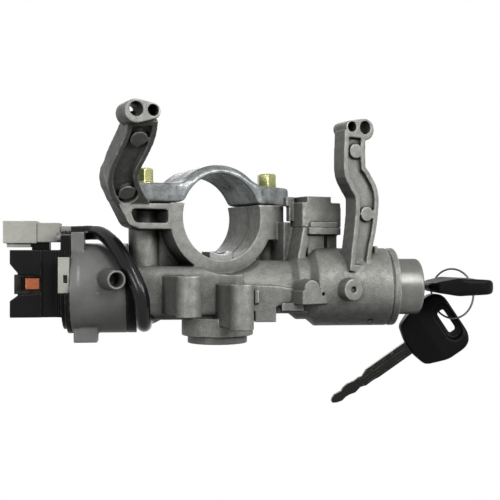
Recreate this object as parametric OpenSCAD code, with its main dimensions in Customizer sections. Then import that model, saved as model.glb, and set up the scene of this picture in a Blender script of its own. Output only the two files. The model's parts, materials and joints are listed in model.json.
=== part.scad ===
// Ignition lock and steering lock with its column clamp, key switch, two keys and warning lead.
// Frame: origin on the column tube axis at mid clamp, +Y along the column away from the driver, +Z up.

/* [Column clamp] */
// Diameter of the column tube in the clamp
column_d = 49; // [47:0.5:51]
// Length of the clamp along the column
clamp_len = 40; // [38:1:44]
// Wall of the saddle below the tube
saddle_wall = 8; // [7:0.5:9]
// Wall of the clamp cap
cap_wall = 5.4; // [4.6:0.2:6.4]
// Height of the parting face over the tube axis
split_z = 7.5; // [6:0.5:8]
// Distance between the clamp bolts
bolt_span = 80; // [78:1:84]
// Thread diameter of the clamp bolts
bolt_d = 8; // [6:0.5:8]
// Height of the cap ears
ear_h = 10.8; // [9:0.2:12]

/* [Arms] */
// Distance between the two large arm holes
hole_span = 136.8; // [134:0.2:139]
// Distance between the two small arm holes
small_span = 119; // [117:0.2:120]
// Height of the arm holes over the tube axis
hole_z = 50; // [48:0.5:52]
// Diameter of the large arm holes
hole_d = 7; // [6:0.2:7.4]
// Diameter of the small arm holes
small_d = 5.6; // [4.4:0.2:5.8]

/* [Barrel and lock] */
// Angle between the lock barrel and the clamp face
skew = 23; // [22:0.5:24]
// Diameter of the barrel
barrel_d = 44.8; // [43:0.2:46]
// Diameter of the lock cylinder body inside the barrel
case_d = 30; // [28:0.5:31]
// Diameter of the plated lock head
head_d = 32.4; // [31:0.2:34]
// Length of the plated lock head
head_len = 15.4; // [13:0.2:17]
// Diameter of the turning plug
plug_d = 18; // [17:0.5:19]
// Width of the lock bolt tongue
tongue_w = 15; // [13:0.5:16]
// Depth of the lock bolt tongue
tongue_d = 11; // [9:0.5:11.5]
// Travel of the lock bolt
bolt_travel = 5.5; // [4.5:0.5:5.5]

/* [Keys] */
// Thickness of the key heads
head_t = 10.3; // [9:0.1:10.4]
// Width of the key heads
head_w = 40; // [36:0.5:40]
// Length of the key heads
head_l = 36; // [35:0.5:38]
// Width of the key blades
blade_w = 8.4; // [7.8:0.1:8.8]
// Thickness of the key blades
blade_t = 2.6; // [2:0.1:3]
// Length of the key blades
blade_l = 57; // [54:0.5:58]
// Wire diameter of the key ring
wire_d = 1.2; // [1:0.1:1.4]

/* [Switch and lead] */
// Diameter of the switch cup
cup_d = 51.4; // [50:0.2:53]
// Wall of the switch cup
cup_wall = 2.6; // [2:0.2:3.2]
// Width of the switch socket
socket_w = 28; // [26:0.5:30]
// Wall of the switch socket
socket_wall = 2; // [1.6:0.1:2.4]
// Width of one terminal blade
blade_term_w = 6.3; // [5.5:0.1:6.4]
// Width of the lead connector
plug_w = 14; // [12:0.5:15]
// Diameter of the warning lead sleeve
lead_d = 8.4; // [7:0.2:8.6]

/* [Hidden] */
$fn = 48;
e = 0.5;
fit = 0.05;
gap = 0.3;
column_r = column_d / 2;
saddle_r = column_r + saddle_wall;
front_y = -clamp_len / 2;
bolt_x = bolt_span / 2;
bolt_r = bolt_d / 2;
ear_z = split_z + gap;
ear_top = ear_z + ear_h;
ear_r = 13;
// The clamp posts start this far over the barrel axis.
post_z = 10;
// The rear land of the bore starts here, behind a relief groove.
land_y = clamp_len / 2 - 24;
// The lock bolt axis and the barrel axis cross at this point.
bolt_y = -13;
axis_z = -(column_r + 15.5);
barrel_r = barrel_d / 2;
case_r = case_d / 2;
head_r = head_d / 2;
plug_r = plug_d / 2;
mid_r = 15.3;
barrel_w = 102;
big_w = 55.5;
head_end = barrel_w + head_len;
case_w = barrel_w - 45;
shaft_r = 9;
neck_r = 14;
body_top = 12.3;
body_low = -17.6;
body_n = 16.5;
body_w0 = -(bolt_x + 5.7);
body_w1 = 13;
ring_w0 = body_w0 - 4.9;
cup_l = 30.4;
cup_w0 = ring_w0 - cup_l;
cup_r = cup_d / 2;
// Screw boss on the front of the cup.
cup_boss = [cup_w0 * cos(skew) + 9.261, bolt_y - cup_w0 * sin(skew) - 44.649];
// The lead crosses under the body in a shallow groove.
groove_z = body_low + 2.7;
lead_w = gap + lead_d / 2;
lead_z = groove_z - gap - lead_d / 2;
// The arm bosses stand this far in front of the saddle face.
arm_y = -62;
arm_lean_z = 6;
arm_lean_y = -20;
lean_len = norm([arm_y - arm_lean_y, hole_z - arm_lean_z]);
lean = atan2(arm_lean_y - arm_y, hole_z - arm_lean_z);
hole_x = hole_span / 2;
small_x = small_span / 2;
// Lock bolt block and its pocket.
block_x = 18;
block_y = 20;
pocket_top = -(column_r + 2);
// In front of the tongue the bolt stays under the saddle's front face.
step_top = -(saddle_r + 1.6);
block_top = pocket_top - gap;
block_low = axis_z - 16;
boss_low = axis_z - 27;
cover_h = 4.4;
tongue_top = -(column_r - 5);
// Keys: the head joint of the key in the lock, the first wafer and the wire crossings.
key_w0 = head_end + 5.6;
wafer_w = head_end - 45.4;
pin_w = barrel_w - 14.4;
slot_u = 28.5;
slot_w = 5;
slot_l = 14.5;
web_t = 3.6;
dish_r = slot_w / 2 + 2.8;
dish_v = slot_l / 2 - 0.6;
ring_r = 14.9;
ring_turn = -53;
ring_at = [key_w0 + slot_u - 8.9, 12.5, -5];
spare_at = [ring_at[0] - 2, 17.5, ring_at[2] - 16.8];
spare_tilt = -34.2;
// Switch parts.
sock_w0 = -33;
sock_w1 = -6;
sock_z0 = -15.6;
sock_z1 = 21.3;
con_z = sock_z1 + 3.7;
// Middle of the upper tab, in front of the lead.
tab_n = -10.4;

function unit(v) = v / norm(v);
function turn(a) = [cos(a), sin(a)];

// One rounded corner of an outline as an arc of k steps.
function arc_at(a, b, c, r, k) =
  let (u = unit(a - b), v = unit(c - b), half = acos(max(-1, min(1, u * v))) / 2,
    m = b + unit(u + v) * r / sin(half), p = b + u * r / tan(half) - m, q = b + v * r / tan(half) - m,
    a0 = atan2(p[1], p[0]), d = (atan2(q[1], q[0]) - a0 + 540) % 360 - 180)
  [for (i = [0:k]) m + r * turn(a0 + d * i / k)];

// An outline with its corners rounded, each by its own radius.
function rounded(pts, r, k = 4) =
  let (n = len(pts))
  [for (i = [0:n - 1]) each (r[i] <= 0 ? [pts[i]]
    : arc_at(pts[(i + n - 1) % n], pts[i], pts[(i + 1) % n], r[i], k))];

function all_of(n, r) = [for (i = [0:n - 1]) r];

// A smooth curve through a list of points.
function curve(p, k) =
  let (n = len(p))
  [for (i = [0:n - 2], j = [0:k - 1])
    let (a = p[max(i - 1, 0)], b = p[i], c = p[i + 1], d = p[min(i + 2, n - 1)], t = j / k)
    0.5 * (2 * b + (c - a) * t + (2 * a - 5 * b + 4 * c - d) * t * t + (3 * b - a - 3 * c + d) * t * t * t)];

function side(p, i) =
  let (n = len(p), d = unit(p[min(i + 1, n - 1)] - p[max(i - 1, 0)])) [-d[1], d[0]];

// A band of changing half width along a centre line of [x, y, half width].
function band(p, less) =
  let (n = len(p), c = [for (q = p) [q[0], q[1]]])
  concat([for (i = [0:n - 1]) c[i] + side(c, i) * (p[i][2] - less)],
    [for (i = [n - 1:-1:0]) c[i] - side(c, i) * (p[i][2] - less)]);

// A round tube along a route of points, k sides.
module tube(route, r, k) {
  n = len(route);
  tan_at = [for (i = [0:n - 1]) unit(route[min(i + 1, n - 1)] - route[max(i - 1, 0)])];
  side_at = [for (t = tan_at) unit(cross(t, [0.31, 0.2, 0.93]))];
  pts = [for (i = [0:n - 1], j = [0:k - 1])
    route[i] + r * (side_at[i] * cos(360 * j / k) + cross(tan_at[i], side_at[i]) * sin(360 * j / k))];
  faces = concat([[for (j = [0:k - 1]) j]],
    [for (i = [0:n - 2], j = [0:k - 1])
      [i * k + j, (i + 1) * k + j, (i + 1) * k + (j + 1) % k, i * k + (j + 1) % k]],
    [[for (j = [k - 1:-1:0]) (n - 1) * k + j]]);
  polyhedron(pts, faces);
}

module on_barrel() {
  translate([0, bolt_y, axis_z]) rotate([0, 0, -skew]) children();
}

// The switch is drawn from the open end of its cup.
module on_switch() {
  on_barrel() translate([cup_w0, 0, 0]) children();
}

module rod(w0, w1, r) {
  translate([w0, 0, 0]) rotate([0, 90, 0]) cylinder(r = r, h = w1 - w0);
}

module cone(w0, w1, r0, r1) {
  translate([w0, 0, 0]) rotate([0, 90, 0]) cylinder(r1 = r0, r2 = r1, h = w1 - w0);
}

module block(a, b) {
  translate(a) cube(b - a);
}

// A plate from an outline in X and Z, between two Y planes.
module plate(pts, y0, y1) {
  translate([0, y1, 0]) rotate([90, 0, 0]) linear_extrude(y1 - y0) polygon(pts);
}

// Round bar along Y.
module bar_y(x, z, r, y0, y1) {
  translate([x, y1, z]) rotate([90, 0, 0]) cylinder(r = r, h = y1 - y0);
}

// Two circles joined by their outer tangents.
module link2d(a, ra, b, rb) {
  d = norm(b - a);
  t = acos((ra - rb) / d);
  g = atan2(b[1] - a[1], b[0] - a[0]);
  translate(a) circle(ra);
  translate(b) circle(rb);
  polygon([a + ra * turn(g - t), b + rb * turn(g - t), b + rb * turn(g + t), a + ra * turn(g + t)]);
}

// Boss at the end of an arm with its large and small hole.
module arm_boss(s) {
  translate([0, arm_y + 13.5, 0]) rotate([90, 0, 0]) linear_extrude(13.5)
    link2d([s * hole_x, hole_z - 1], 6, [s * small_x, hole_z - 0.4], 4);
}

module arm_holes(s) {
  bar_y(s * hole_x, hole_z, hole_d / 2, arm_y - e, arm_y + 14);
  bar_y(s * small_x, hole_z, small_d / 2, arm_y - e, arm_y + 9);
}

left_line = [[-50, -4, 7.5], [-55.5, 2, 8], [-60.5, 9, 8.2], [-63.6, 16, 8.1], [-64.2, 24, 8.2],
  [-62.6, 35, 8.4], [-61.8, 45, 8.2], [-63, lean_len - 5.8, 7.6]];
right_line = [[61.6, hole_z - 2, 7], [61.4, 27, 7.4], [64.6, 20.6, 8], [69.4, 13, 8], [69.8, 4, 7.8],
  [68.4, -7.4, 7.5], [66.2, -19, 6.9], [64.6, -34, 6.9]];

// Puts children drawn in X and height onto the leaning face of the left arm.
module on_lean() {
  translate([0, arm_lean_y, arm_lean_z]) rotate([90 + lean, 0, 0]) mirror([0, 0, 1]) children();
}

module left_arm() {
  arm = curve(left_line, 4);
  foot = rounded([[-26, split_z - 0.5], [-46, 6.7], [-51, 12], [-52, 19], [-68, 19], [-67.5, 16],
    [-56, -5.5], [-50, -7.4], [-26, -7.4]], [0, 3, 3, 1, 1, 2, 6, 4, 0]);
  side = [[-60, 8], [-59.5, 34], [-61.9, 35.8], [-65.3, 30.2], [-67.6, 26], [-68.4, 21], [-67.7, 17],
    [-63.6, 8]];
  difference() {
    union() {
      on_lean() linear_extrude(11) polygon(band(arm, 0));
      plate(foot, front_y, front_y + 14);
      // The left wall reaches back to the foot.
      difference() {
        plate(side, front_y - 24, front_y + 14);
        on_lean() translate([-90, -40, -60]) cube([60, 140, 60]);
      }
      arm_boss(-1);
    }
    on_lean() translate([0, 0, -e]) linear_extrude(3 + e) {
      polygon(band([for (i = [6:len(arm) - 2]) arm[i]], 2.8));
      translate([arm[6][0], arm[6][1]]) circle(arm[6][2] - 2.8);
    }
    plate(rounded([[-55.5, 3.4], [-53, -3.8], [-33.4, -3.8], [-33.4, 3.4]], [2, 3, 1.5, 1.5]),
      front_y - e, front_y + 15);
  }
  on_lean() for (at = [[-61.8, 42], [-58.8, 6.6]])
    translate([at[0], at[1], 0.7]) cylinder(r = 4.6, h = 5);
}

module right_arm() {
  arm = curve(right_line, 4);
  difference() {
    union() {
      plate(band(arm, 0), arm_y, arm_y + 10.6);
      arm_boss(1);
    }
    plate(band([for (i = [1:len(arm) - 2]) arm[i]], 3), arm_y - e, arm_y + 2.6);
  }
  bar_y(62.4, 36.6, 4.2, arm_y + 0.5, arm_y + 4);
  bar_y(70, 1.6, 4.2, arm_y + 0.5, arm_y + 4);
}

module saddle() {
  intersection() {
    bar_y(0, 0, saddle_r, front_y, -front_y);
    block([-60, -30, -60], [60, 30, split_z]);
  }
  for (s = [-1, 1])
    translate([s * bolt_x, 0, axis_z + post_z]) cylinder(r = 8.4, h = split_z - axis_z - post_z);
  block([20, front_y, -12.8], [bolt_x + 0.3, 12, split_z]);
  block([-bolt_x, -4, axis_z + post_z], [-20, 9, split_z]);
  block([20, -4, axis_z + 8], [bolt_x, 9, -12]);
  plate([[20, -10], [33, -10], [33, -13], [21, -30], [10, -30]], front_y + 6, front_y + 20);
}

module body_box() {
  r = 5;
  pts = rounded([[-body_n, body_low], [body_n, body_low], [body_n, body_top], [-body_n, body_top]],
    all_of(4, r));
  on_barrel() difference() {
    translate([body_w0, 0, 0]) rotate([90, 0, 90]) linear_extrude(body_w1 - body_w0) polygon(pts);
    block([body_w0 - e, -30, body_low - e], [body_w0 + lead_d + 2 * gap, 30, groove_z]);
  }
}

// Upright round boss that a narrower rib ties to the front of the body.
module front_boss(x, y, r, z0, z1, back) {
  t = r - 1.2;
  translate([x, y, z0]) cylinder(r = r, h = z1 - z0);
  block([x - t, y, z0 + 1], [x + t, back, z1 - 0.4]);
}

module lock_housing() {
  color("#8d918a") difference() {
    union() {
      saddle();
      left_arm();
      right_arm();
      // The saddle's front face stays clear of the body below it.
      difference() {
        union() {
          body_box();
          on_barrel() rod(0, 46, mid_r);
        }
        bar_y(0, 0, saddle_r, front_y - 50, front_y);
      }
      on_barrel() {
        rod(ring_w0 - cup_wall, body_w0 + 2, neck_r);
        cone(41, 45, mid_r, 18.6);
        rod(45, 51, 18.6);
        cone(51, big_w, 18.6, barrel_r);
        rod(big_w, barrel_w - 4.6, barrel_r);
        rod(barrel_w - 4.6, barrel_w - 3.4, barrel_r - 0.8);
        rod(barrel_w - 3.4, barrel_w, barrel_r);
        translate([0, 0, boss_low - axis_z]) cylinder(r = 20.4, h = 10.4);
        block([34.8, -18.4, -12.7], [47.2, -9, -8.1]);
        // Flat flank of the body beside the bosses.
        translate([0, -8, 0]) rotate([90, 0, 0]) linear_extrude(8.2)
          polygon([[13, 2], [33, 1.2], [47, -1.4], [47, -9], [36.8, -9], [24, -12.7], [13, -12.7]]);
        block([20, -16, -19], [32, -9, -10]);
        block([19.4, -18.6, -8.4], [22, -9, -1]);
        block([14, -13.5, -14], [50, 0, 0]);
        translate([pin_w + 2, -10, 18]) cylinder(r = 1.6, h = 5.6);
      }
      front_boss(-29.7, -38, 6.8, axis_z - 14.5, axis_z + 7.6, -12);
      front_boss(-2.9, -48, 6.5, axis_z - 21.6, axis_z + 3, -20);
      bar_y(57.4, axis_z - 0.6, 6.1, -66.6, -40);
      bar_y(36.9, axis_z - 0.1, 4.9, -56, -32);
      block([30.8, -56, axis_z - 8.7], [46.5, -32, axis_z - 1.1]);
      // Pedestal of the interlock cover.
      block([41.4, -39.4, -10], [67.6, -25, -5.6]);
      block([45, -39, axis_z], [56, -26, -5.6]);
      block([60, -36, axis_z], [67, -26, -5.6]);
      plate([[41.4, -7], [45.4, -7], [45.4, -12], [39.6, axis_z], [34.6, axis_z]], -39.4, -27);
      block([36, -27, axis_z + 10], [41.2, front_y + 2, -2.6]);
      block([44, -42, -9.8], [64.4, -38, -5.6]);
    }
    bar_y(0, 0, column_r, front_y - 50, 60);
    bar_y(0, 0, column_r + 0.4, land_y - 3, land_y);
    translate([-bolt_x, 0, split_z]) cylinder(r = ear_r + 2 * gap, h = 30);
    for (s = [-1, 1]) {
      arm_holes(s);
      translate([s * bolt_x, 0, -14]) cylinder(r = bolt_r, h = 40);
    }
    // Pocket, guide and counterbore of the lock bolt.
    block([-block_x / 2 - fit, bolt_y - block_y / 2 - fit, boss_low - e],
      [block_x / 2 + fit, bolt_y + block_y / 2 + fit, step_top]);
    block([-block_x / 2 - fit, bolt_y - tongue_d / 2 - fit, boss_low - e],
      [block_x / 2 + fit, bolt_y + block_y / 2 + fit, pocket_top]);
    block([-tongue_w / 2 - fit, bolt_y - tongue_d / 2 - fit, pocket_top - e],
      [tongue_w / 2 + fit, bolt_y + tongue_d / 2 + fit, 0]);
    translate([0, bolt_y, boss_low - e]) cylinder(r = 15, h = 2.5);
    on_barrel() {
      rod(ring_w0 - cup_wall - e, case_w, shaft_r);
      rod(case_w - fit, barrel_w + e, case_r);
      // Pin hole of the lock cylinder and the blind mark beside it.
      translate([pin_w, -6, -barrel_r - e]) cylinder(r = 1.2, h = 12);
      block([pin_w - 3, -13.6, -barrel_r - e], [pin_w + 0.4, -9.4, 5 - barrel_r]);
    }
    bar_y(57.4, axis_z - 0.6, 1.7, -67.5, -64.8);
    bar_y(44.4, axis_z - 3.2, 0.9, -57, -48);
  }
}

// Front view outline of the cap: arch, two ears and the fillets between them.
module cap_outline() {
  r = column_r;
  s = column_r + cap_wall;
  f = 7;
  q = 4;
  fx = sqrt(pow(s + f, 2) - pow(ear_top + f, 2));
  qx = sqrt(pow(r + q, 2) - pow(ear_z + q, 2));
  a0 = atan2(ear_z + q, qx);
  a1 = atan2(ear_top + f, fx);
  ear_x = bolt_x + ear_r + 1;
  polygon(concat([for (i = [0:5]) [qx, ear_z + q] + q * turn(-90 - (90 - a0) * i / 6)],
    [for (i = [0:24]) (r - 0.4) * turn(a0 + (180 - 2 * a0) * i / 24)],
    [for (i = [5:-1:0]) [-qx, ear_z + q] + q * turn(-90 + (90 - a0) * i / 6)],
    [[-ear_x, ear_z], [-ear_x, ear_top]],
    [for (i = [0:8]) [-fx, ear_top + f] + f * turn(-90 + (90 - a1) * i / 8)],
    [for (i = [1:31]) s * turn(180 - a1 + (2 * a1 - 180) * i / 32)],
    [for (i = [8:-1:0]) [fx, ear_top + f] + f * turn(-90 - (90 - a1) * i / 8)],
    [[ear_x, ear_top], [ear_x, ear_z]]));
}

module clamp_cap() {
  ear_in = column_r + 1;
  g = atan2(front_y, ear_in - bolt_x) + acos(ear_r / norm([bolt_x - ear_in, front_y]));
  tx = bolt_x + ear_r * cos(g);
  ty = ear_r * sin(g);
  color("#b9bcbc") difference() {
    intersection() {
      translate([0, -front_y, 0]) rotate([90, 0, 0]) linear_extrude(clamp_len) cap_outline();
      translate([0, 0, -e]) linear_extrude(80) union() {
        polygon([[-ear_in, front_y], [ear_in, front_y], [tx, ty], [tx, -ty], [ear_in, -front_y],
          [-ear_in, -front_y], [-tx, -ty], [-tx, ty]]);
        for (s = [-1, 1])
          translate([s * bolt_x, 0]) circle(ear_r);
      }
    }
    bar_y(0, 0, column_r, front_y - e, -front_y + e);
    bar_y(0, 0, column_r + 0.4, land_y - 3, land_y);
    for (y = [front_y - e, -front_y - 2.4])
      difference() {
        bar_y(0, 0, 60, y, y + 2.4 + e);
        bar_y(0, 0, column_r + cap_wall - 2.2, y - e, y + 3.4 + e);
        block([-70, -60, -70], [70, 60, ear_top + 2]);
      }
    for (s = [-1, 1])
      translate([s * bolt_x, 0, 0]) cylinder(r = bolt_r + 0.4, h = 60);
  }
}

module clamp_bolts() {
  color("#b7a65c") for (s = [-1, 1])
    translate([s * bolt_x, 0, 0]) {
      translate([0, 0, -12]) cylinder(r = bolt_r - fit, h = ear_top + 13);
      translate([0, 0, ear_top]) cylinder(r = 6.3, h = 0.7);
      translate([0, 0, ear_top + 0.5]) intersection() {
        rotate([0, 0, 12]) cylinder(r = 6, h = 8.3, $fn = 6);
        cylinder(r1 = 13.2, r2 = 4.9, h = 8.3);
      }
    }
}

// Cast cover that stands on its pedestal beside the clamp.
module interlock_cover() {
  color("#868a84") difference() {
    union() {
      block([41.4, -40, -5.6], [68.2, -25, 8.6]);
      block([44, -40, 8.6], [60, -25, 12]);
      block([45, -42, -5.6], [63.4, -39, -2.6]);
      block([38.6, -29, -2], [42, -25, 12]);
      block([36.6, -29, 6.6], [42, -25, 12]);
    }
    block([67, -41, 6.4], [69, -24, 9]);
    translate([41.4, -40, -6]) rotate([0, 0, 45]) cube([2.6, 2.6, 40], center = true);
    translate([68.2, -40, -6]) rotate([0, 0, 45]) cube([2.6, 2.6, 40], center = true);
  }
}

module cylinder_case() {
  color("#a9aaa6") on_barrel() difference() {
    union() {
      rod(case_w, barrel_w + 0.1, case_r - fit);
      translate([barrel_w, 0, 0]) rotate([90, 0, 90]) rotate_extrude()
        polygon(rounded([[0, 0], [head_r, 0], [head_r, head_len], [0, head_len]], [0, 0.4, 1.8, 0]));
    }
    rod(case_w - e, head_end - 3, plug_r);
    rod(head_end - 3 - e, head_end + e, plug_r - 2.4);
    translate([pin_w, -6, -barrel_r]) cylinder(r = 1.2, h = barrel_r - plug_r - 0.8);
  }
}

module case_pin() {
  color("#5c5e60") on_barrel() translate([pin_w, -6, -barrel_r + 1.8])
    difference() {
      cylinder(r = 1.2 - fit / 2, h = 8);
      translate([0, 0, -e]) cylinder(r = 0.6, h = 9);
    }
}

module bolt_cover() {
  color("#9a9d98") translate([0, bolt_y, boss_low]) {
    translate([0, 0, -cover_h]) cylinder(r = 17, h = cover_h);
    cylinder(r = 15 - fit, h = 2);
  }
}

module bolt_spring() {
  z0 = boss_low + 2.6;
  z1 = block_low - 0.6;
  color("#777a7d") translate([0, bolt_y, 0])
    tube([for (i = [0:64]) [5.6 * cos(i * 22.5), 5.6 * sin(i * 22.5), z0 + (z1 - z0) * i / 64]], 0.55, 8);
}

module lock_bolt() {
  color("#b8bab8") difference() {
    union() {
      block([-block_x / 2, bolt_y - block_y / 2, block_low],
        [block_x / 2, bolt_y + block_y / 2, step_top - gap]);
      block([-block_x / 2, bolt_y - tongue_d / 2, block_low],
        [block_x / 2, bolt_y + block_y / 2, block_top]);
      block([-tongue_w / 2, bolt_y - tongue_d / 2, block_top - e],
        [tongue_w / 2, bolt_y + tongue_d / 2, tongue_top]);
    }
    on_barrel() block([-20, -6.4, -5.6], [20, 6.4, 5.6 + bolt_travel]);
    translate([0, bolt_y - tongue_d / 2, tongue_top + 9]) rotate([90, 0, 0])
      cylinder(r = 10.4, h = 7, center = true);
  }
}

module lock_plug() {
  color("#b09b62") on_barrel() difference() {
    union() {
      rod(case_w + 1, head_end - 3.1, plug_r - fit);
      rod(head_end - 3.2, head_end, plug_r - 2.4 - fit);
      block([case_w - 4, -4, -1.5], [case_w + 2, 4, 1.5]);
    }
    block([key_w0 - blade_l - 1, -blade_w / 2 - fit, -blade_t / 2 - fit],
      [head_end + e, blade_w / 2 + fit, blade_t / 2 + fit]);
    for (i = [0:6])
      block([wafer_w + i * 5, -6.5, -2.8], [wafer_w + i * 5 + 1.2, 6.5, 2.8]);
  }
}

module wafers() {
  color("#c2a85a") on_barrel() for (i = [0:6])
    difference() {
      block([wafer_w + i * 5 + fit, -6.5 + fit, -2.8 + fit],
        [wafer_w + i * 5 + 1.2 - fit, 6.5 - fit, 2.8 - fit]);
      block([wafer_w - 1, -blade_w / 2 - fit, -blade_t / 2 - fit],
        [head_end, blade_w / 2 + fit, blade_t / 2 + fit]);
    }
}

module cam_shaft() {
  color("#8f9296") on_barrel() difference() {
    union() {
      rod(24, case_w - 1, shaft_r - fit);
      rod(body_w0 + 15.7, 24.2, 3.6);
      rod(ring_w0 + 1.6, body_w0 + 17.7, shaft_r - fit);
      block([cup_w0 + 20, -3, -1.5], [ring_w0 + 2.6, 3, 1.5]);
      translate([0, 0, 1.2]) rod(-6, 6, 4);
    }
    block([case_w - 4.1, -shaft_r, -1.5 - fit], [case_w, shaft_r, 1.5 + fit]);
  }
}

// Outline of a key head, from its joint along +X.
module head_outline() {
  w = head_w / 2;
  difference() {
    polygon(rounded([[0, -5.2], [0, 5.2], [2.6, w - 5.6], [17, w - 0.4], [head_l, w], [head_l, -w],
      [17, 0.4 - w], [2.6, 5.6 - w]], [0.8, 0.8, 4, 12, 10, 10, 12, 4], 6));
    translate([slot_u, 0]) square([slot_w, slot_l], center = true);
  }
}

// Side view of a key head: slim neck, full middle, round end.
module head_side() {
  link2d([2, 0], 2.8, [14, 0], head_t / 2);
  link2d([14, 0], head_t / 2, [head_l - 4.2, 0], 4.2);
}

// End view of a key head with its rounded edges.
module head_cross() {
  r = 3.2;
  square([head_w - 2 * r, head_t], center = true);
  square([head_w, head_t - 2 * r], center = true);
  for (v = [-1, 1], t = [-1, 1])
    translate([v * (head_w / 2 - r), t * (head_t / 2 - r)]) circle(r);
}

// A key head, dished round the slot on both faces so that the ring wire can lie aslant.
module head_solid() {
  difference() {
    intersection() {
      translate([0, 0, -head_t / 2 - e]) linear_extrude(head_t + 2 * e) head_outline();
      rotate([90, 0, 0]) linear_extrude(head_w + 2, center = true) head_side();
      translate([-e, 0, 0]) rotate([90, 0, 90]) linear_extrude(head_l + 2 * e) head_cross();
    }
    for (t = [-1, 1])
      translate([slot_u, 0, t * (web_t / 2 + head_t)]) linear_extrude(2 * head_t, center = true)
        link2d([0, -dish_v], dish_r, [0, dish_v], dish_r);
  }
}

// Blade with its cut edges, tip at minus blade_l, root inside the head.
module blade_solid() {
  b = blade_w / 2;
  l = blade_l;
  difference() {
    translate([0, 0, -blade_t / 2]) linear_extrude(blade_t)
      polygon([[0, b], [-0.5 * l, b], [-0.53 * l, b - 0.7], [-0.58 * l, b - 1.9], [-0.63 * l, b - 1.2],
        [-0.68 * l, b - 1.4], [-0.76 * l, b - 0.5], [-0.81 * l, b - 0.9], [-0.85 * l, b - 1.8],
        [-0.93 * l, b - 1.3], [-0.98 * l, b - 2.4], [-l, 0.6], [-l, -0.6], [-0.96 * l, 2.2 - b],
        [-0.9 * l, 1.3 - b], [-0.85 * l, 1.9 - b], [-0.8 * l, 1.7 - b], [-0.74 * l, 0.7 - b],
        [-0.66 * l, 1.6 - b], [-0.6 * l, 0.4 - b], [-0.5 * l, 0.5 - b], [-0.44 * l, -b], [0, -b]]);
    // Milled grooves on both faces.
    for (s = [-1, 1])
      for (v = [-2.5, 1.2])
        translate([-0.62 * l, v, s * blade_t / 2 - 0.45]) cube([0.62 * l - 1.5, 1.2, 0.9]);
  }
}

module key_blade() {
  color("#57584c") on_barrel() translate([key_w0, 0, 0]) blade_solid();
}

module key_head() {
  color("#262628") on_barrel() translate([key_w0, 0, 0]) head_solid();
}

module key_ring() {
  color("#6c6d6e") on_barrel() translate(ring_at) rotate([0, 0, ring_turn]) rotate([90, 0, 0])
    rotate_extrude() translate([ring_r, 0]) circle(r = wire_d / 2);
}

module on_spare() {
  on_barrel() translate(spare_at) rotate([90, 0, 0]) rotate([0, 0, -spare_tilt]) translate([-slot_u, 0, 0])
    children();
}

module spare_blade() {
  color("#57584c") on_spare() blade_solid();
}

module spare_head() {
  color("#262628") on_spare() head_solid();
}

module switch_cup() {
  color("#7e827f") difference() {
    union() {
      on_switch() {
        rod(0, 4.6, cup_r);
        rod(4.6 - e, cup_l, cup_r - 0.4);
        block([0, tab_n - 5, cup_r - 6], [7.1, tab_n + 5, cup_r + 5.4]);
        block([1.2, -14, -cup_r - 4], [14.2, -4, 5 - cup_r]);
      }
      bar_y(cup_boss[0], axis_z + 5.6, 5.25, cup_boss[1], cup_boss[1] + 22);
    }
    on_switch() {
      rod(-e, cup_l - cup_wall, cup_r - cup_wall);
      rod(cup_l - 10, cup_l + e, neck_r + fit);
      block([-e, tab_n - 3, cup_r + 1.2], [4, tab_n + 3, cup_r + 4]);
    }
    bar_y(cup_boss[0], axis_z + 5.6, 3.8, cup_boss[1] - e, cup_boss[1] + 12);
  }
}

module seal_ring() {
  color("#232426") on_barrel() difference() {
    rod(ring_w0, body_w0, cup_r - 0.4);
    rod(ring_w0 - e, body_w0 + e, neck_r + fit);
    block([ring_w0 - e, -30, post_z - gap], [body_w0 + e, 30, 40]);
  }
}

module switch_base() {
  s = socket_w / 2;
  color("#28292b") on_switch() difference() {
    union() {
      rod(-2.6, 0, cup_r - 0.2);
      rod(-5, -2.5, cup_r - 2.6);
      rod(-e, 3, cup_r - cup_wall - fit);
      block([sock_w1 - e, -s, sock_z0], [-2.5, s, sock_z1]);
      block([sock_w0, -s, sock_z0], [sock_w1, s, sock_z1]);
      block([-5.7, tab_n - 5, 12], [0, tab_n + 5, cup_r + 3.8]);
    }
    // Socket for the plug of the vehicle harness.
    block([sock_w0 - e, -s + socket_wall, sock_z0 + socket_wall],
      [-11, s - socket_wall, sock_z1 - socket_wall]);
    // Notch in the front wall of the socket.
    translate([0, -s + socket_wall + e, 0]) rotate([90, 0, 0]) linear_extrude(socket_wall + 2 * e)
      polygon([[sock_w0 - e, 14.2], [sock_w0, 13.7], [-28.4, 8.2], [-16.2, 7.2], [-16.2, -2.2],
        [-28.4, -3.2], [sock_w0, -6.6], [sock_w0 - e, -7]]);
    // Shallow step behind the wings.
    block([-16, -s - e, sock_z0 - e], [-7.4, -s + 0.9, sock_z1 + e]);
    // Seat of the carrier, bearing of the rotor and slots of the contacts.
    block([-6.2, -28, -2], [e, -18, 17.6]);
    rod(-1, 4, 6);
    block([-2, tab_n - 1, cup_r + 0.4], [11, tab_n + 1, cup_r + 2.4]);
    for (i = [0:3])
      block([-12, -10.8 + i * 6.8 - fit, -0.4 - fit], [-1.3, -10 + i * 6.8 + fit, blade_term_w - 0.4 + fit]);
    translate([-9, tab_n, cup_r + 2.6]) rotate([0, 90, 0]) cylinder(r = 1.6, h = 12);
  }
}

module switch_rotor() {
  color("#d9d6cb") on_switch() difference() {
    union() {
      rod(9, cup_l - 3.4, 19);
      rod(-0.9, 9.5, 6 - fit);
    }
    block([19.8, -3 - fit, -1.5 - fit], [cup_l, 3 + fit, 1.5 + fit]);
    block([8, -16, 9], [10.6, 16, 13]);
  }
}

module contact_bridge() {
  color("#b4703c") on_switch() block([8.4, -16 + fit, 9 + fit], [10.6, 16 - fit, 13 - fit]);
}

module fixed_contacts() {
  color("#b4703c") on_switch() for (i = [0:3])
    block([3 + fit, -13 + i * 7, 9], [4.4, -8.4 + i * 7, 14]);
}

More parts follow.
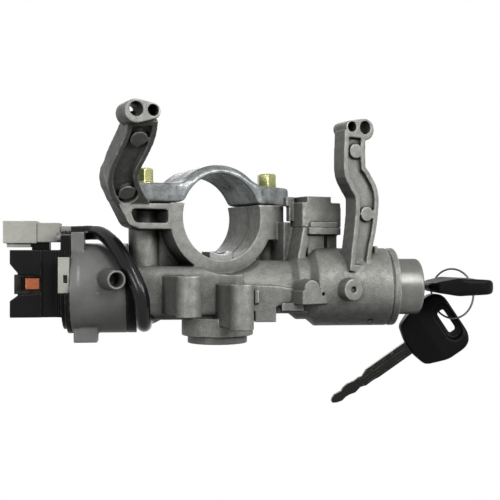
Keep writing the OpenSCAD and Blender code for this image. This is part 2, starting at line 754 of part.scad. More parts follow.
module terminals() {
  color("#b4703c") on_switch() for (i = [0:3])
    block([-25, -10.8 + i * 6.8, -0.4], [-1.4, -10 + i * 6.8, -0.4 + blade_term_w]);
}

module carrier() {
  color("#e3e1d8") on_switch() difference() {
    block([-6, -24, -1.9], [-fit, -18 - fit, 17.4]);
    block([-3.2, -25, 3.5], [-1, -19.5, 7.8]);
  }
}

module switch_screw() {
  color("#6f7274") on_switch() translate([0, tab_n, cup_r + 2.6]) {
    rod(-8, -5.7, 2.6);
    rod(-6, -0.2, 1.6 - fit);
  }
}

module connector_shell() {
  p = plug_w / 2;
  color("#e6e4dc") on_switch() difference() {
    union() {
      block([-37.8, -p, con_z], [-19.6, p, con_z + 12.4]);
      block([-36, -p + 1.5, con_z - 2.2], [-23, p - 1.5, con_z + e]);
    }
    block([-38.3, -p + 1.6, con_z + 1.6], [-26, p - 1.6, con_z + 10.8]);
  }
}

module connector_insert() {
  p = plug_w / 2 - 1.2;
  color("#dddbd2") on_switch() difference() {
    union() {
      block([-19.6, -p, con_z + 0.6], [-7, p, con_z + 11.4]);
      block([-7.4, -p + 1.5, con_z + 2.2], [-1, p - 1.5, con_z + 9.4]);
    }
    translate([0, 0, con_z + 5.8]) rod(-9, 0, lead_d / 2);
  }
}

module connector_pins() {
  color("#c9b36a") on_switch() for (n = [-2.4, 1.6])
    block([-29.2, n, con_z + 5.4], [-26, n + 0.8, con_z + 7.4]);
}

module connector_foot() {
  color("#232426") on_switch() {
    block([-19.6, -4, sock_z1], [-13, 4, con_z + 0.6]);
    block([-22.6, -4, sock_z1], [-18, 4, con_z]);
  }
}

// Route of the lead: from the connector round the cup, then under the body to the warning switch.
lead_a = [[-8, 0, con_z + 5.8], [-1, 0, con_z + 5.8], [5, 0, con_z + 6], [11, -1.4, con_z + 6.2],
  [16, -7.6, con_z + 5.6], [20.4, -15, con_z + 2.6], [25.4, -22.4, con_z - 3], [31.4, -28.8, con_z - 12.4],
  [36.4, -31.8, con_z - 22], [38.8, -31.8, con_z - 30]];
lead_b = [[-0.6, -29.6, 7], [-0.2, -25.2, 2], [0, -18, 0], [0, -8, 0], [0, 4, 0], [0, 14, 0],
  [1.4, 20.4, 0.4], [5.4, 24.2, 1.8], [9.4, 24.8, 4.6], [11.2, 24.8, 8.8], [11.2, 24.8, 12.2]];
lead_at = [body_w0 + lead_w - cup_w0, 0, lead_z];
plug_at = lead_at + lead_b[10];

module warning_lead() {
  color("#1c1c1e") on_switch()
    tube(curve(concat(lead_a, [for (q = lead_b) lead_at + q]), 2), lead_d / 2 - fit, 12);
}

module warning_switch() {
  color("#2a2b2d") on_switch() difference() {
    block([plug_at[0] - 8, body_n, plug_at[2] - 0.8], [plug_at[0] + 8, body_n + 14, plug_at[2] + 12.2]);
    translate([plug_at[0], plug_at[1], plug_at[2] - 0.8 - e]) cylinder(r = lead_d / 2, h = 2 + e);
  }
}

lock_housing();
clamp_cap();
clamp_bolts();
interlock_cover();
cylinder_case();
case_pin();
bolt_cover();
bolt_spring();
lock_bolt();
lock_plug();
wafers();
cam_shaft();
key_blade();
key_head();
key_ring();
spare_blade();
spare_head();
switch_cup();
seal_ring();
switch_base();
switch_rotor();
contact_bridge();
fixed_contacts();
terminals();
carrier();
switch_screw();
connector_shell();
connector_insert();
connector_pins();
connector_foot();
warning_lead();
warning_switch();
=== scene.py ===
# %% [markdown]
# # Ignition lock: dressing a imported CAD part
# The CAD part already holds every solid, mount and joint of this lock. Blender only adds what a
# camera sees: soft cast edges, a smooth lead sleeve, and a finish for each metal and plastic.
# The frame is loaded first and never moved, so each new piece is made in its place, in metres.

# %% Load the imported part
import json
import math
import bmesh
import bpy
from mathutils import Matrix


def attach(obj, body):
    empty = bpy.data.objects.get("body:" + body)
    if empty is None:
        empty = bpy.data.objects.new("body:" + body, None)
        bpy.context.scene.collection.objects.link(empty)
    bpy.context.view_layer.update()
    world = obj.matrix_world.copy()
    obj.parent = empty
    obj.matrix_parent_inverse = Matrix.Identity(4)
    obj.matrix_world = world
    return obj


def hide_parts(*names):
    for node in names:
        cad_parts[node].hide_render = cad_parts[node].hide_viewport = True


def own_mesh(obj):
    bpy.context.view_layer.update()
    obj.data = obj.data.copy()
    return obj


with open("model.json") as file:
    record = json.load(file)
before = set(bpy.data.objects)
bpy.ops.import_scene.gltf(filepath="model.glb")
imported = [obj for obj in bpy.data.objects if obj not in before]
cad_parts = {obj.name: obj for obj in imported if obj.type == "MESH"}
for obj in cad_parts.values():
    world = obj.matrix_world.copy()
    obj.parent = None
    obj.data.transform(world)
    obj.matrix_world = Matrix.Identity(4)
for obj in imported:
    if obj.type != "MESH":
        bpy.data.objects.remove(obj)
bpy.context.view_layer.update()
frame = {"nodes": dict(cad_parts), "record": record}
nodes = frame["nodes"]
node_body = {n: b for b, names in frame["record"]["behaviour"]["bodies"].items() for n in names}
node_slot = {s["node"]: s["material_slot"] for s in frame["record"]["subparts"]}

# %% [markdown]
# ## Camera
# The photograph was taken level with the lock, from the left of the steering column, so the
# verticals stay upright. The lens and the place below were fitted to the arm holes, the clamp
# bore and the barrel. A camera that is only turned about Z keeps that look.

# %% Set the camera
CAMERA_AT = (-0.2235, -0.4584, -0.0187)
CAMERA_TURN = -28.8
LENS = 62.61
SENSOR = 36


def place(name, data):
    made = bpy.data.objects.new(name, data)
    bpy.context.collection.objects.link(made)
    return made


camera = place("camera", bpy.data.cameras.new("camera"))
camera.location = CAMERA_AT
camera.rotation_euler = (math.radians(90), 0, math.radians(CAMERA_TURN))
camera.data.sensor_width = SENSOR
camera.data.lens = LENS
camera.data.clip_start = 0.01
bpy.context.scene.camera = camera
bpy.context.scene.view_settings.view_transform = "Standard"
print("camera is turned by", CAMERA_TURN, "degrees about Z")

# %% [markdown]
# ## Small helpers for nodes
# Shader trees are long when each node takes three lines. `add` makes a node, sets its plain
# values and links what feeds it in one call, and a few short functions name the nodes that come
# up most. A material below then reads like a recipe.


# %% Make and feed a node
def feed(tree, socket, source):
    if hasattr(source, "is_output"):
        tree.links.new(source, socket)
    else:
        socket.default_value = source


def add(tree, kind, links=None, **values):
    node = tree.nodes.new(kind)
    for key, value in values.items():
        setattr(node, key, value)
    for key, source in (links or {}).items():
        feed(tree, node.inputs[key], source)
    return node


print("nodes can be added and fed")


# %% Name the nodes that come up most
def calc(tree, how, a, b, clamp=False):
    return add(tree, "ShaderNodeMath", {0: a, 1: b}, operation=how, use_clamp=clamp).outputs[0]


def mix_colour(tree, factor, a, b, blend="MIX"):
    node = add(tree, "ShaderNodeMix", {0: factor, 6: a, 7: b}, data_type="RGBA", blend_type=blend)
    return node.outputs[2]


def ramp(tree, value, start, end, low=0.0, high=1.0):
    return add(tree, "ShaderNodeMapRange", {
        "Value": value, "From Min": start, "From Max": end, "To Min": low, "To Max": high}).outputs[0]


def noise(tree, where, scale, detail, rough=0.5):
    return add(tree, "ShaderNodeTexNoise", {
        "Vector": where, "Scale": scale, "Detail": detail, "Roughness": rough}).outputs[0]


print("math, mix, ramp and noise have short names")

# %% [markdown]
# ## Shared effects
# Two effects are on nearly every surface here. `surface_grain` is the uneven skin of a casting or
# a moulding: large soft patches, a fine grain that speckles the colour and feeds the bump, and a
# roughness that follows both. The second group reads how sharply the mesh bends and lightens the
# outer edges: they rub bright in handling, and a painted highlight is laid on them too. It also
# paints shade into the colour of inner corners, undersides and recesses. Both could be painted on
# UV maps, but a node group finds them on any mesh.

# %% Start a group with named sockets
COLOUR = "NodeSocketColor"
NUMBER = "NodeSocketFloat"
GREY = (0.5, 0.5, 0.5, 1)


def make_group(name, inputs, outputs):
    tree = bpy.data.node_groups.new(name, "ShaderNodeTree")
    for label, value in inputs.items():
        kind = COLOUR if isinstance(value, tuple) else NUMBER
        socket = tree.interface.new_socket(label, in_out="INPUT", socket_type=kind)
        socket.default_value = value
    for label, kind in outputs.items():
        tree.interface.new_socket(label, in_out="OUTPUT", socket_type=kind)
    return tree, tree.nodes.new("NodeGroupInput"), tree.nodes.new("NodeGroupOutput")


print("group sockets are colours or numbers")

# %% Build the surface grain group
PATCH_SHARE = 0.6
PATCH_RELIEF = 1.5
skin_group, skin_in, skin_out = make_group(
    "surface_grain",
    {"Colour": GREY, "Patch colour": GREY, "Patch scale": 60, "Grain scale": 900, "Roughness": 0.4,
     "Roughness spread": 0.1, "Speckle": 0.07},
    {"Colour": COLOUR, "Roughness": NUMBER, "Height": NUMBER})
where = add(skin_group, "ShaderNodeTexCoord").outputs["Object"]
patches = noise(skin_group, where, skin_in.outputs["Patch scale"], 5.0, 0.6)
grain = noise(skin_group, where, skin_in.outputs["Grain scale"], 3.0, 0.65)
patch_mask = ramp(skin_group, patches, 0.36, 0.66)
dots = ramp(skin_group, grain, 0.3, 0.7, -1.0, 1.0)

# Colour: patches first, then the speckle as a factor near one.
speckle = calc(skin_group, "ADD", 1.0, calc(skin_group, "MULTIPLY", dots, skin_in.outputs["Speckle"]))
patched = mix_colour(skin_group, patch_mask, skin_in.outputs["Colour"], skin_in.outputs["Patch colour"])
speckled = mix_colour(skin_group, 1.0, patched, speckle, "MULTIPLY")
feed(skin_group, skin_out.inputs["Colour"], speckled)

# Roughness: patches and grain together, spread about the given value.
both = calc(skin_group, "ADD", calc(skin_group, "MULTIPLY", patch_mask, PATCH_SHARE),
            calc(skin_group, "MULTIPLY", grain, 1 - PATCH_SHARE))
spread = calc(skin_group, "MULTIPLY", calc(skin_group, "SUBTRACT", both, 0.5),
              skin_in.outputs["Roughness spread"])
rougher = calc(skin_group, "ADD", skin_in.outputs["Roughness"], spread, clamp=True)
feed(skin_group, skin_out.inputs["Roughness"], rougher)

# Height: the grain on top of the wider swell of the patches.
swell = calc(skin_group, "MULTIPLY", patches, PATCH_RELIEF)
feed(skin_group, skin_out.inputs["Height"], calc(skin_group, "ADD", grain, swell))
print("surface_grain has", len(skin_group.nodes), "nodes")

# %% Build the group of edge rubbing and painted shade
RUB_SCALE = 240.0
RECESS_REACH = 0.011
wear_shade_group, wear_shade_in, wear_shade_out = make_group(
    "wear_and_painted_shade",
    {"Colour": GREY, "Edge colour": GREY, "Edge amount": 0.6, "Corner shade": 0.5, "Under shade": 0.0,
     "Recess shade": 0.0},
    {"Colour": COLOUR})
spot = add(wear_shade_group, "ShaderNodeTexCoord")
bend = add(wear_shade_group, "ShaderNodeNewGeometry").outputs["Pointiness"]

# Outer edges rub bright in handling and also carry a painted highlight, but not everywhere, so noise breaks
# the line.
outer_edge = ramp(wear_shade_group, bend, 0.508, 0.55)
broken = ramp(wear_shade_group, noise(wear_shade_group, spot.outputs["Object"], RUB_SCALE, 4.0), 0.35, 0.6)
rubbed_and_highlit = calc(wear_shade_group, "MULTIPLY", calc(wear_shade_group, "MULTIPLY", outer_edge, broken),
              wear_shade_in.outputs["Edge amount"], clamp=True)
worn_and_shaded_colour = mix_colour(wear_shade_group, rubbed_and_highlit, wear_shade_in.outputs["Colour"], wear_shade_in.outputs["Edge colour"])

# Painted shade: corners, undersides and recesses each darken the colour by a share.
inner_corner = ramp(wear_shade_group, bend, 0.493, 0.45)
faces_up = add(wear_shade_group, "ShaderNodeSeparateXYZ", {0: spot.outputs["Normal"]}).outputs["Z"]
underside = ramp(wear_shade_group, faces_up, -0.15, -0.65)
openness = add(wear_shade_group, "ShaderNodeAmbientOcclusion", {"Distance": RECESS_REACH}, samples=6)
recessed = ramp(wear_shade_group, openness.outputs["AO"], 0.92, 0.3)
for mask, amount in ((inner_corner, "Corner shade"), (underside, "Under shade"), (recessed, "Recess shade")):
    lost = calc(wear_shade_group, "MULTIPLY", mask, wear_shade_in.outputs[amount])
    left = calc(wear_shade_group, "SUBTRACT", 1.0, lost)
    worn_and_shaded_colour = mix_colour(wear_shade_group, 1.0, worn_and_shaded_colour, left, "MULTIPLY")
feed(wear_shade_group, wear_shade_out.inputs["Colour"], worn_and_shaded_colour)
print("wear_and_painted_shade has", len(wear_shade_group.nodes), "nodes")

# %% [markdown]
# ## Finishes
# One function makes every finish from the two groups. What differs is written in one entry each:
# the colour and its patches, how rough it is, how deep the grain stands, how bright the edges rub
# with their painted highlight, and how much shade is painted in corners, undersides and recesses.
# Metal, shine and coat are the same all over a piece, so they are set on the shader itself. The
# lock stands before plain white, which a metal mirrors at a flat angle, so `shine` and `rim` hold
# that glare back.


# %% Define the finish function
def finish(name, colour, patch, rough, spread, grain, bump, patch_scale=60, speckle=0.07,
           edge=None, rub_and_highlight=0.5, corner=0.4, under=0.0, recess=0.0,
           metal=0.0, shine=0.5, rim=1.0, coat=0.0, coat_rough=0.1, lines=None):
    made = bpy.data.materials.new(name)
    made.use_nodes = True
    tree = made.node_tree
    skin = add(tree, "ShaderNodeGroup", node_tree=skin_group, links={
        "Colour": (*colour, 1), "Patch colour": (*patch, 1), "Patch scale": patch_scale,
        "Grain scale": grain, "Roughness": rough, "Roughness spread": spread, "Speckle": speckle})
    # The second group lightens the edges, by rubbing and a painted highlight, and paints shade into corners,
    # undersides and recesses.
    worn_and_shaded = add(tree, "ShaderNodeGroup", node_tree=wear_shade_group, links={
        "Colour": skin.outputs["Colour"], "Edge colour": (*(edge or colour), 1),
        "Edge amount": rub_and_highlight if edge else 0.0, "Corner shade": corner, "Under shade": under,
        "Recess shade": recess})
    height = skin.outputs["Height"]
    if lines:
        height = calc(tree, "ADD", calc(tree, "MULTIPLY", height, 0.3), turned_lines(tree, *lines))
    relief = add(tree, "ShaderNodeBump", {"Height": height, "Strength": 1.0, "Distance": bump})
    sockets = {"Base Color": worn_and_shaded.outputs["Colour"], "Roughness": skin.outputs["Roughness"],
               "Normal": relief.outputs[0], "Metallic": metal, "Specular IOR Level": shine,
               "Specular Tint": (rim, rim, rim, 1), "Coat Weight": coat, "Coat Roughness": coat_rough}
    for label, source in sockets.items():
        feed(tree, tree.nodes["Principled BSDF"].inputs[label], source)
    return made


def turned_lines(tree, turn, per_metre):
    along = add(tree, "ShaderNodeMapping", {
        "Vector": add(tree, "ShaderNodeTexCoord").outputs["Object"],
        "Rotation": (0, 0, math.radians(turn)), "Scale": (per_metre, 2.0, 2.0)})
    return noise(tree, along.outputs[0], 1.0, 4.0, 0.7)


print("finish function ready")

# %% [markdown]
# The castings are raw zinc and aluminium: a matte grey skin whose edges rub lighter and carry a
# painted highlight, with painted shade in corners, undersides and recesses. The clamp cap is
# brighter because it was tumbled. Noise in Object coordinates gives both their cloudy look, and
# needs no UV map on shapes as broken up as these.

# %% Make the cast finishes
finishes = {
    "casting": finish(
        "cast_grey", (0.19, 0.192, 0.178), (0.145, 0.147, 0.136), rough=0.42, spread=0.25,
        grain=1500, bump=0.00016, patch_scale=260, speckle=0.26,
        # painted highlight on the edges, painted shade in corners, undersides and recesses
        edge=(0.42, 0.43, 0.4), rub_and_highlight=0.8, corner=0.7, under=0.6, recess=0.85,
        metal=0.25, shine=0.2, rim=0.3),
    "clamp_cap": finish(
        "tumbled_cap", (0.29, 0.304, 0.306), (0.1, 0.107, 0.11), rough=0.3, spread=0.2,
        grain=700, bump=0.00006, patch_scale=130, speckle=0.15,
        edge=(0.6, 0.61, 0.61), rub_and_highlight=0.6, corner=0.9, recess=0.08,
        metal=0.35, shine=0.03, rim=0.0),
    "cup": finish(
        "cup_grey", (0.14, 0.142, 0.135), (0.112, 0.114, 0.108), rough=0.42, spread=0.12,
        grain=1400, bump=0.00003,
        edge=(0.3, 0.3, 0.29), rub_and_highlight=0.35, corner=0.6, under=0.2, recess=0.4,
        metal=0.2, shine=0.2, rim=0.3),
}
print("cast finishes:", ", ".join(finishes))

# %% [markdown]
# The bolts carry the yellow-green film of zinc plating. The lock head was turned on a lathe, so
# fine rings run round it: noise that is stretched across the barrel's axis draws them. The axis
# is skewed to the column by `SKEW` degrees, as in the CAD part. Blades, plug and keys are plain
# sheet or bar metal.

# %% Make the plated, turned and plain metals
SKEW = 23
LATHE_RINGS = 2600.0
finishes.update({
    "yellow_zinc": finish(
        "yellow_zinc", (0.42, 0.42, 0.19), (0.2, 0.22, 0.09), rough=0.22, spread=0.2,
        grain=700, bump=0.00002, patch_scale=260,
        edge=(0.75, 0.72, 0.45), rub_and_highlight=0.8, corner=0.7, metal=0.75),
    "lock_zinc": finish(
        "turned_zinc", (0.165, 0.166, 0.152), (0.13, 0.131, 0.12), rough=0.32, spread=0.12,
        grain=500, bump=0.00004, lines=(SKEW, LATHE_RINGS),
        edge=(0.6, 0.6, 0.56), rub_and_highlight=0.6, corner=0.5, metal=0.4, shine=0.2, rim=0.3),
    "steel": finish(
        "plain_steel", (0.2, 0.2, 0.2), (0.15, 0.15, 0.15), rough=0.34, spread=0.2,
        grain=800, bump=0.00001, patch_scale=200, metal=0.8),
    "brass": finish(
        "plug_brass", (0.5, 0.38, 0.15), (0.4, 0.3, 0.12), rough=0.34, spread=0.2,
        grain=700, bump=0.00001, metal=0.8),
    "copper": finish(
        "blade_copper", (0.38, 0.115, 0.045), (0.17, 0.045, 0.018), rough=0.24, spread=0.2,
        grain=500, bump=0.00001, patch_scale=500, metal=0.8),
    "key_metal": finish(
        "dark_nickel", (0.009, 0.009, 0.0075), (0.006, 0.006, 0.005), rough=0.26, spread=0.2,
        grain=800, bump=0.00002, patch_scale=120,
        edge=(0.2, 0.2, 0.17), rub_and_highlight=0.5, corner=0.3, metal=0.15, shine=0.18),
})
print("with the other metals:", len(finishes), "finishes")

# %% [markdown]
# The plastics are moulded. Black key heads have a fine matte grain, the switch base is a little
# smoother, the nylon is milky with a faint yellow tint, and the sleeve of the lead shines under
# a thin coat.

# %% Make the plastic finishes
finishes.update({
    "key_black": finish(
        "key_grip_black", (0.004, 0.004, 0.0042), (0.003, 0.003, 0.0032), rough=0.4, spread=0.15,
        grain=2600, bump=0.00005, edge=(0.03, 0.03, 0.03), rub_and_highlight=0.4, corner=0.2, shine=0.05),
    "black_plastic": finish(
        "switch_black", (0.009, 0.009, 0.0088), (0.0062, 0.0062, 0.0061), rough=0.36, spread=0.2,
        grain=1800, bump=0.00002,
        edge=(0.06, 0.06, 0.058), rub_and_highlight=0.6, corner=0.5, recess=0.9, shine=0.04),
    "white_nylon": finish(
        "milky_nylon", (0.33, 0.326, 0.29), (0.275, 0.27, 0.24), rough=0.32, spread=0.15,
        grain=1200, bump=0.00001, patch_scale=90,
        edge=(0.55, 0.54, 0.5), rub_and_highlight=0.5, corner=0.55, recess=0.5, shine=0.3),
    "sleeve": finish(
        "sleeve_gloss", (0.005, 0.005, 0.0055), (0.004, 0.004, 0.0045), rough=0.26, spread=0.15,
        grain=600, bump=0.00004, patch_scale=120, shine=0.18, coat=0.12, coat_rough=0.15),
})
for name, obj in nodes.items():
    obj.data.materials.clear()
    obj.data.materials.append(finishes[node_slot[name]])
print(len(finishes), "finishes on", len(nodes), "nodes")

# %% [markdown]
# ## Soft edges
# A die never leaves a razor edge, and a moulded head has none either, but the CAD solids do. A
# Bevel modifier would trip over the many small faces where bores and ribs meet. Voxel Remesh is
# safer: it rebuilds the copy of a solid as an even skin, Smooth rounds its edges, and Decimate
# thins it again. A few rounds of Smooth break an edge by about one voxel. The cap and the key heads
# get many rounds, because the real ones are well rounded. The copy stands in for the solid.


# %% Round the edges of a node
def bake(source):
    return bpy.data.meshes.new_from_object(source.evaluated_get(bpy.context.evaluated_depsgraph_get()))


def stand_in(piece, node):
    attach(piece, node_body[node])
    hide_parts(node)


def soften(name, voxel, rounds, most):
    body = place("soft_" + name, nodes[name].data.copy())
    weld = body.modifiers.new("weld", "WELD")
    weld.merge_threshold = 1e-6
    remesh = body.modifiers.new("remesh", "REMESH")
    remesh.mode = "VOXEL"
    remesh.voxel_size = voxel
    smooth = body.modifiers.new("smooth", "SMOOTH")
    smooth.factor = 0.5
    smooth.iterations = rounds
    made = bake(body)
    body.modifiers.clear()
    body.data = made
    triangles = sum(len(p.vertices) - 2 for p in made.polygons)
    if triangles > most:
        thin = body.modifiers.new("thin", "DECIMATE")
        thin.ratio = most / triangles
        made = bake(body)
        body.modifiers.clear()
        body.data = made
    made.polygons.foreach_set("use_smooth", [True] * len(made.polygons))
    made.materials.clear()
    made.materials.append(finishes[node_slot[name]])
    stand_in(body, name)
    print(name, "rounded:", len(made.polygons), "faces")


# %% Castings: node, voxel in metres, rounds of Smooth, most triangles
for row in (("lock_housing", 0.00042, 6, 195000),
            ("clamp_cap", 0.0006, 60, 90000),
            ("interlock_cover", 0.0004, 5, 40000),
            ("switch_cup", 0.0005, 10, 110000),
            ("bolt_cover", 0.0004, 6, 30000)):
    soften(*row)

# %% Mouldings: node, voxel in metres, rounds of Smooth, most triangles
for row in (("key_head", 0.0005, 36, 40000),
            ("spare_head", 0.0005, 36, 40000),
            ("switch_base", 0.0004, 4, 90000),
            ("seal_ring", 0.0004, 4, 30000),
            ("warning_switch", 0.0004, 4, 30000),
            ("connector_foot", 0.0002, 4, 20000),
            ("connector_shell", 0.0003, 4, 40000),
            ("connector_insert", 0.0003, 4, 30000),
            ("carrier", 0.0002, 4, 30000)):
    soften(*row)

# %% Turned, milled and plated metal: node, voxel in metres, rounds of Smooth, most triangles
for row in (("cylinder_case", 0.0004, 4, 60000),
            ("clamp_bolts", 0.0003, 4, 40000),
            ("key_blade", 0.0002, 3, 40000),
            ("spare_blade", 0.0002, 3, 40000),
            ("terminals", 0.0002, 3, 30000),
            ("lock_plug", 0.0003, 3, 40000),
            ("lock_bolt", 0.0004, 3, 30000),
            ("switch_screw", 0.0002, 3, 10000)):
    soften(*row)

# %% [markdown]
# ## Lead sleeve
# The lead is a glossy sleeve that runs from the white connector round the cup and under the body.
# Its route is the same list of points as in the CAD part, in millimetres along the barrel, across
# it and up. A Geometry Nodes tree sweeps a circle along a curve, so the sleeve is smooth where
# the solid has flat sides.

# %% Route of the lead
SKEW_COS = math.cos(math.radians(SKEW))
SKEW_SIN = math.sin(math.radians(SKEW))
BARREL_Y = -13
BARREL_Z = -40
CUP_W = -81.0
LEAD_TOP = 25.0
LEAD_AT = (39.8, 0.0, -19.4)
from_connector = [(-8, 0, 5.8), (-1, 0, 5.8), (5, 0, 6), (11, -1.4, 6.2), (16, -7.6, 5.6),
                  (20.4, -15, 2.6), (25.4, -22.4, -3), (31.4, -28.8, -12.4), (36.4, -31.8, -22),
                  (38.8, -31.8, -30)]
to_switch = [(-0.6, -29.6, 7), (-0.2, -25.2, 2), (0, -18, 0), (0, -8, 0), (0, 4, 0), (0, 14, 0),
             (1.4, 20.4, 0.4), (5.4, 24.2, 1.8), (9.4, 24.8, 4.6), (11.2, 24.8, 8.8),
             (11.2, 24.8, 12.2)]
route = [(w, n, z + LEAD_TOP) for w, n, z in from_connector]
route += [tuple(a + b for a, b in zip(LEAD_AT, q)) for q in to_switch]
print("lead route is given by", len(route), "points")


# %% Draw a smooth line through the route
def in_row(w, n, z):
    w += CUP_W
    return ((w * SKEW_COS + n * SKEW_SIN) / 1000, (BARREL_Y - w * SKEW_SIN + n * SKEW_COS) / 1000,
            (z + BARREL_Z) / 1000)


def through(points, steps):
    line = []
    last = len(points) - 1
    for i in range(last):
        a, b, c, d = (points[j] for j in (max(i - 1, 0), i, i + 1, min(i + 2, last)))
        for k in range(steps):
            t = k / steps
            line.append(tuple(0.5 * (2 * q + (r - p) * t + (2 * p - 5 * q + 4 * r - s) * t * t
                                     + (3 * q - p - 3 * r + s) * t ** 3) for p, q, r, s in zip(a, b, c, d)))
    return line + [points[-1]]


lead_line = [in_row(*q) for q in through(route, 6)]
lead_length = sum(math.dist(a, b) for a, b in zip(lead_line, lead_line[1:]))
print("lead line:", len(lead_line), "points,", round(lead_length, 4), "m")

# %% Build the sweep tree with Geometry Nodes
sweep = bpy.data.node_groups.new("sweep_round", "GeometryNodeTree")
sweep.interface.new_socket("Geometry", in_out="INPUT", socket_type="NodeSocketGeometry")
radius_in = sweep.interface.new_socket("Radius", in_out="INPUT", socket_type="NodeSocketFloat")
sides_in = sweep.interface.new_socket("Sides", in_out="INPUT", socket_type="NodeSocketInt")
finish_in = sweep.interface.new_socket("Finish", in_out="INPUT", socket_type="NodeSocketMaterial")
sweep.interface.new_socket("Geometry", in_out="OUTPUT", socket_type="NodeSocketGeometry")
tube_in = sweep.nodes.new("NodeGroupInput")
tube_out = sweep.nodes.new("NodeGroupOutput")
ring = add(sweep, "GeometryNodeCurvePrimitiveCircle", {
    "Resolution": tube_in.outputs["Sides"], "Radius": tube_in.outputs["Radius"]})
tube = add(sweep, "GeometryNodeCurveToMesh", {
    "Curve": tube_in.outputs["Geometry"], "Profile Curve": ring.outputs[0], "Fill Caps": True})
smooth_tube = add(sweep, "GeometryNodeSetShadeSmooth", {"Geometry": tube.outputs[0]})
real_tube = add(sweep, "GeometryNodeRealizeInstances", {"Geometry": smooth_tube.outputs[0]})
dressed_tube = add(sweep, "GeometryNodeSetMaterial", {
    "Geometry": real_tube.outputs[0], "Material": tube_in.outputs["Finish"]})
sweep.links.new(dressed_tube.outputs[0], tube_out.inputs[0])
print("sweep_round has", len(sweep.nodes), "nodes")

# %% Sweep the sleeve along its route
LEAD_RADIUS = 0.00415
LEAD_SIDES = 28


def swept(name, line, radius, sides, node):
    curve = bpy.data.curves.new(name, "CURVE")
    curve.dimensions = "3D"
    spline = curve.splines.new("POLY")
    spline.points.add(len(line) - 1)
    for point, at in zip(spline.points, line):
        point.co = (*at, 1)
    path = place(name + "_path", curve)
    tree_on = path.modifiers.new("sweep", "NODES")
    tree_on.node_group = sweep
    tree_on[radius_in.identifier] = radius
    tree_on[sides_in.identifier] = sides
    tree_on[finish_in.identifier] = finishes[node_slot[node]]
    mesh = bake(path)
    bpy.data.objects.remove(path)
    piece = place(name, mesh)
    stand_in(piece, node)
    print(name, "swept:", len(mesh.polygons), "faces")
    return piece


swept("lead_sleeve", lead_line, LEAD_RADIUS, LEAD_SIDES, "warning_lead")

# %% [markdown]
# ## Bolt spring
# The same tree sweeps the wire of the spring under the lock bolt, along a helix of four turns. When
# the plug turns, the bolt comes down by 5.5 mm and the real spring gives way; this one is wound at
# rest and is not squeezed.

# %% Wind the spring
WIRE = 0.00055
WIRE_SIDES = 12
COIL = 0.0056
COIL_TURNS = 4
TURN_STEPS = 32
SPRING_Y = BARREL_Y / 1000
SPRING_LOW = -0.0644
SPRING_TOP = -0.0566
coil_steps = COIL_TURNS * TURN_STEPS
coil_line = []
for i in range(coil_steps + 1):
    turn = math.tau * i / TURN_STEPS
    coil_line.append((COIL * math.cos(turn), SPRING_Y + COIL * math.sin(turn),
                      SPRING_LOW + (SPRING_TOP - SPRING_LOW) * i / coil_steps))
spring = swept("wound_spring", coil_line, WIRE, WIRE_SIDES, "bolt_spring")
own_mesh(spring)

# %% [markdown]
# ## Terminal window
# In the notch of the switch socket, a thin black frame stands in front of the first terminal blade.
# It is a flat moulding with one window. A Boolean could cut the window out, but bmesh draws the
# frame just as fast as a grid of faces without its middle one, and a Bevel modifier breaks its
# edges.

# %% Draw the frame's faces
FRAME_W = (-30.8, -27.2, -17.4, -14.6)
FRAME_Z = (-2.8, -0.7, 6.3, 7.9)
FRAME_N = (-12.6, -11.2)
WINDOW = (1, 1)
frame_mesh = bmesh.new()
corners = {(i, j, k): frame_mesh.verts.new(in_row(FRAME_W[i], FRAME_N[k], FRAME_Z[j]))
           for i in range(4) for j in range(4) for k in range(2)}
for i in range(3):
    for j in range(3):
        if (i, j) != WINDOW:
            cell = [(i, j), (i + 1, j), (i + 1, j + 1), (i, j + 1)]
            frame_mesh.faces.new([corners[(*q, 0)] for q in cell])
            frame_mesh.faces.new([corners[(*q, 1)] for q in reversed(cell)])
outer = [(0, 0), (1, 0), (2, 0), (3, 0), (3, 1), (3, 2), (3, 3), (2, 3), (1, 3), (0, 3), (0, 2), (0, 1)]
inner = [(1, 1), (1, 2), (2, 2), (2, 1)]
for loop in (outer, inner):
    for a, b in zip(loop, loop[1:] + loop[:1]):
        frame_mesh.faces.new([corners[(*b, 0)], corners[(*a, 0)], corners[(*a, 1)], corners[(*b, 1)]])
bmesh.ops.recalc_face_normals(frame_mesh, faces=frame_mesh.faces)
print("terminal window:", len(frame_mesh.faces), "faces")

# %% Place the frame and break its edges
window_mesh = bpy.data.meshes.new("terminal_window")
frame_mesh.to_mesh(window_mesh)
frame_mesh.free()
window_mesh.materials.append(finishes["black_plastic"])
window = place("terminal_window", window_mesh)
broken_edges = window.modifiers.new("edges", "BEVEL")
broken_edges.width = 0.0003
broken_edges.segments = 2
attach(window, "housing")
print("terminal window rides on the housing")

# %% [markdown]
# ## Floor, light and backdrop
# The photograph is a cut-out on white. A floor well below the lock keeps its shadow, and fades to
# plain white further out. Floor and world look white to the camera and in reflections, but they
# light the lock only a little, or its dark recesses would fill with light.

# %% Floor
FLOOR_Z = -0.3
FLOOR_HALF = 6
FADE_START = 0.3
FADE_END = 0.48
WHITE = (1, 1, 1, 1)
FLOOR_SEEN = (0.85, 0.85, 0.85, 1)
FLOOR_BOUNCE = (0.12, 0.12, 0.12, 1)


def seen_directly(tree, ray):
    mirrored = calc(tree, "MAXIMUM", ray.outputs["Is Glossy Ray"], ray.outputs["Is Transmission Ray"])
    return calc(tree, "MAXIMUM", ray.outputs["Is Camera Ray"], mirrored)


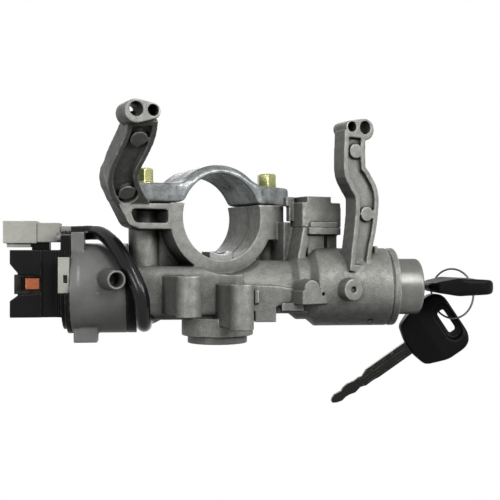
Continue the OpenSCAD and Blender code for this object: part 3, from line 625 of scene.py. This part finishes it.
floor_corners = [(x * FLOOR_HALF, y * FLOOR_HALF, FLOOR_Z) for x, y in ((-1, -1), (1, -1), (1, 1), (-1, 1))]
floor_mesh = bpy.data.meshes.new("floor")
floor_mesh.from_pydata(floor_corners, [], [(0, 1, 2, 3)])
floor = place("floor", floor_mesh)
paper = bpy.data.materials.new("white_paper")
paper.use_nodes = True
tree = paper.node_tree
tree.nodes.clear()
far = add(tree, "ShaderNodeVectorMath", {0: add(tree, "ShaderNodeTexCoord").outputs["Object"]},
          operation="LENGTH")
fade = ramp(tree, far.outputs["Value"], FADE_START, FADE_END)
ray = add(tree, "ShaderNodeLightPath")
bench = mix_colour(tree, ray.outputs["Is Diffuse Ray"], FLOOR_SEEN, FLOOR_BOUNCE)
matte = add(tree, "ShaderNodeBsdfDiffuse", {"Color": bench})
white = add(tree, "ShaderNodeEmission", {"Color": WHITE, "Strength": 1.0})
both_ways = add(tree, "ShaderNodeMixShader", {
    0: calc(tree, "MULTIPLY", fade, seen_directly(tree, ray)), 1: matte.outputs[0], 2: white.outputs[0]})
tree.links.new(both_ways.outputs[0], add(tree, "ShaderNodeOutputMaterial").inputs[0])
floor_mesh.materials.append(paper)
print("floor at", FLOOR_Z, "m")

# %% [markdown]
# Round area lamps give the soft studio light. Four stand in front and to the sides, one of them low
# at the left, so that it reaches into the clamp bore. A wide one lights the far side.


# %% Lamps
def lamp(name, at, aim, size, power):
    light = bpy.data.lights.new(name, "AREA")
    light.shape = "DISK"
    light.size = size
    light.energy = power
    stand = place(name, light)
    stand.location = at
    away = [a - b for a, b in zip(at, aim)]
    flat = math.hypot(away[0], away[1])
    stand.rotation_euler = (math.atan2(flat, away[2]), 0, math.atan2(away[1], away[0]) + math.pi / 2)


lamp("key", at=(0.02, -0.75, 0.66), aim=(0, -0.03, -0.03), size=0.22, power=2.8)
lamp("fore", at=(-0.05, -0.8, 0.35), aim=(0, -0.03, -0.03), size=0.3, power=4)
lamp("right", at=(0.4, -0.75, 0.25), aim=(0.03, -0.03, -0.03), size=0.3, power=4)
lamp("left", at=(-0.72, -0.52, 0.06), aim=(0, -0.03, 0.0), size=0.3, power=3)
lamp("back", at=(0.3, 0.85, 0.4), aim=(0, 0, -0.02), size=0.5, power=3)
print(len(bpy.data.lights), "lamps")

# %% World
WORLD_LIGHT = 0.05
world = bpy.data.worlds.new("studio")
bpy.context.scene.world = world
world.use_nodes = True
tree = world.node_tree
tree.nodes.clear()
plain = add(tree, "ShaderNodeBackground", {"Color": WHITE, "Strength": WORLD_LIGHT})
bright = add(tree, "ShaderNodeBackground", {"Color": WHITE, "Strength": 1.0})
mixed = add(tree, "ShaderNodeMixShader", {
    0: seen_directly(tree, add(tree, "ShaderNodeLightPath")), 1: plain.outputs[0], 2: bright.outputs[0]})
tree.links.new(mixed.outputs[0], add(tree, "ShaderNodeOutputWorld").inputs[0])
print("world is white to look at, and gives", WORLD_LIGHT, "of that as light")
